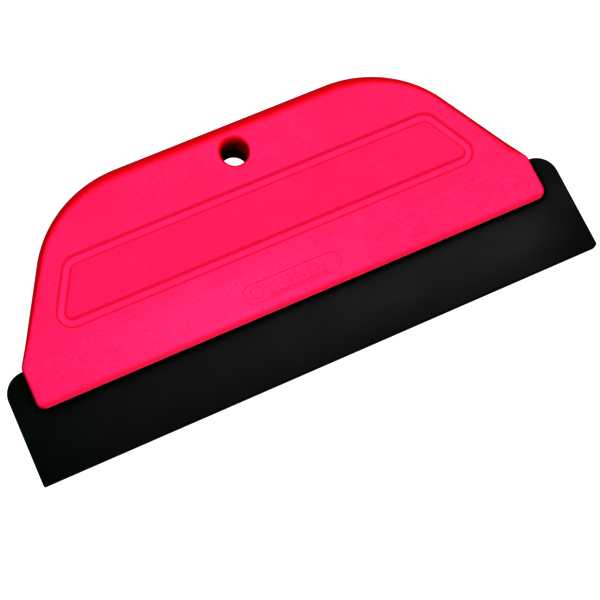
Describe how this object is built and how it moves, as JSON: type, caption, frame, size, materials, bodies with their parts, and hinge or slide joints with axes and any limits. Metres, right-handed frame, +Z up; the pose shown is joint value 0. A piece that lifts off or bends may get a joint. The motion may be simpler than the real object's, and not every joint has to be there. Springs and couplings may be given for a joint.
{
  "type": "squeegee applicator",
  "caption": "Wide rubber-bladed squeegee applicator with a wedge-shaped two-shell plastic handle, hang hole and a blade that flexes at the jaw.",
  "frame": {"origin": "middle of the footprint on the surface that the tool lies on, with the tool on its back", "axes": "+X along the blade, +Y from the working edge towards the palm edge, +Z up out of the front face"},
  "size_m": [0.24, 0.1068, 0.023],
  "materials": {
    "pink_plastic": "matt moulded plastic with a very fine texture",
    "black_rubber": "smooth matt black rubber"
  },
  "bodies": {
    "handle": {"handle_front_shell": "pink_plastic", "handle_rear_shell": "pink_plastic", "blade_root": "black_rubber"},
    "lip": {"blade_lip": "black_rubber"}
  },
  "joints": [
    {"name": "blade_flex", "type": "hinge", "parent": "handle", "child": "lip", "pos_m": [0, -0.02745, 0.0047], "axis": [-1, 0, 0], "range_deg": [-30, 30], "stiffness_Nm_per_rad": 0.75}
  ]
}
